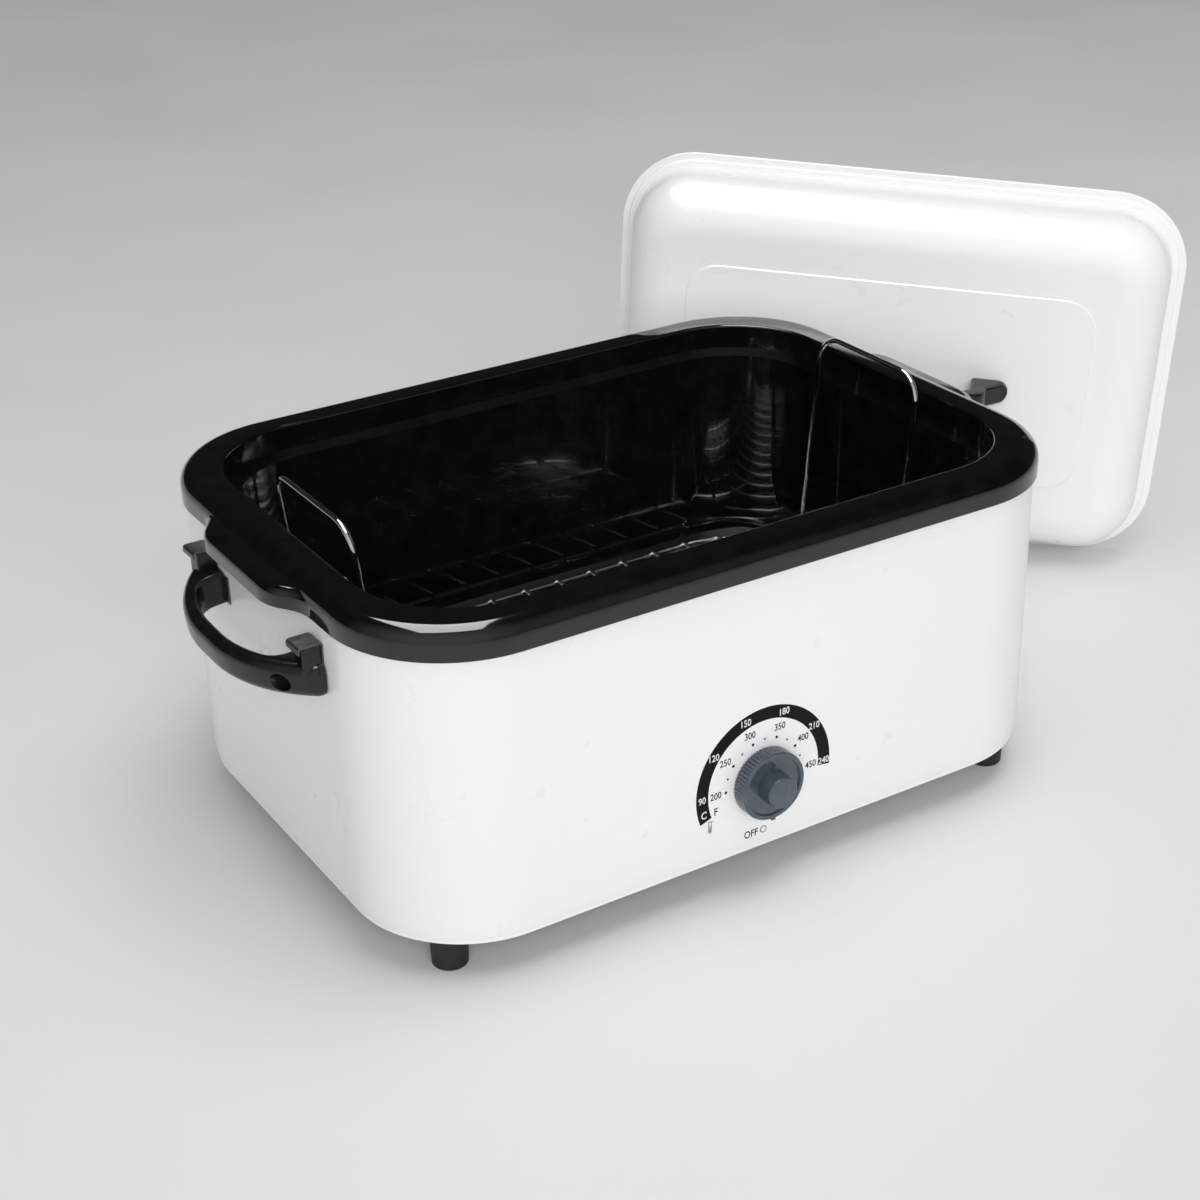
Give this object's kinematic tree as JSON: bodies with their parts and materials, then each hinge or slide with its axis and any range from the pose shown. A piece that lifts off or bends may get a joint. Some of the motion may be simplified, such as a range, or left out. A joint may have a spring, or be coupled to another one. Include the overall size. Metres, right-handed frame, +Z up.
{
  "type": "electric roaster oven",
  "caption": "Oblong countertop roaster oven: white housing, lift-out black pan with grip tabs, wire rack with bails, dial knob, and a lift-off domed lid standing beside it.",
  "frame": {"origin": "centre of the base plate's pressed field, on its underside", "axes": "+Z up, +X along the oven's length to its right, -Y the front with the dial"},
  "size_m": [0.9397, 0.61, 0.3619],
  "materials": {
    "white_paint": "glossy",
    "black_enamel": "glossy",
    "black_plastic": "satin",
    "slate_plastic": "glossy",
    "dark_steel": "satin",
    "bright_steel": "satin",
    "chrome_wire": "polished",
    "galvanised_steel": "satin",
    "heater_band": "satin",
    "glass_fibre": "matte",
    "cream_phenolic": "matte"
  },
  "bodies": {
    "base": {"outer_housing": "white_paint", "base_plate": "galvanised_steel", "foot_front_left": "black_plastic", "foot_front_right": "black_plastic", "foot_rear_left": "black_plastic", "foot_rear_right": "black_plastic", "foot_screws": "bright_steel", "base_screws": "bright_steel", "inner_well": "galvanised_steel", "well_panel": "galvanised_steel", "insulation_wrap": "glass_fibre", "heating_element": "heater_band", "element_clips": "galvanised_steel", "left_handle": "black_plastic", "right_handle": "black_plastic", "handle_bracket_left_front": "dark_steel", "handle_bracket_left_rear": "dark_steel", "handle_bracket_right_front": "dark_steel", "handle_bracket_right_rear": "dark_steel", "handle_screws": "bright_steel", "handle_nuts": "bright_steel", "thermostat_body": "cream_phenolic", "thermostat_nut": "bright_steel", "thermostat_probe": "galvanised_steel", "cord_gland": "black_plastic", "terminal_block": "cream_phenolic"},
    "knob": {"temperature_knob": "slate_plastic", "knob_clip": "bright_steel", "thermostat_shaft": "bright_steel"},
    "pan": {"cooking_pan": "black_enamel", "pan_floor": "black_enamel"},
    "rack": {"roasting_rack": "chrome_wire"},
    "bail_left": {"rack_bail_left": "chrome_wire"},
    "bail_right": {"rack_bail_right": "chrome_wire"},
    "lid": {"lid_shell": "white_paint", "lid_handle": "black_plastic", "lid_handle_screws": "bright_steel", "lid_handle_washers": "bright_steel"}
  },
  "joints": [
    {"name": "knob_turn", "type": "hinge", "parent": "base", "child": "knob", "pos_m": [-0.004, -0.2, 0.0555], "axis": [0, 1, 0], "range_deg": [0, 270]},
    {"name": "pan_lift", "type": "slide", "parent": "base", "child": "pan", "axis": [0, 0, 1], "range_m": [0, 0.2]},
    {"name": "rack_lift", "type": "slide", "parent": "pan", "child": "rack", "axis": [0, 0, 1], "range_m": [0, 0.19]},
    {"name": "bail_left_fold", "type": "hinge", "parent": "rack", "child": "bail_left", "pos_m": [-0.218, 0, 0.0605], "axis": [0, 1, 0], "range_deg": [0, 80]},
    {"name": "bail_right_fold", "type": "hinge", "parent": "rack", "child": "bail_right", "pos_m": [0.218, 0, 0.0605], "axis": [0, -1, 0], "range_deg": [0, 80]},
    {"name": "lid_lift", "type": "slide", "parent": "base", "child": "lid", "axis": [0, 0, 1], "range_m": [0, 0.25]}
  ]
}
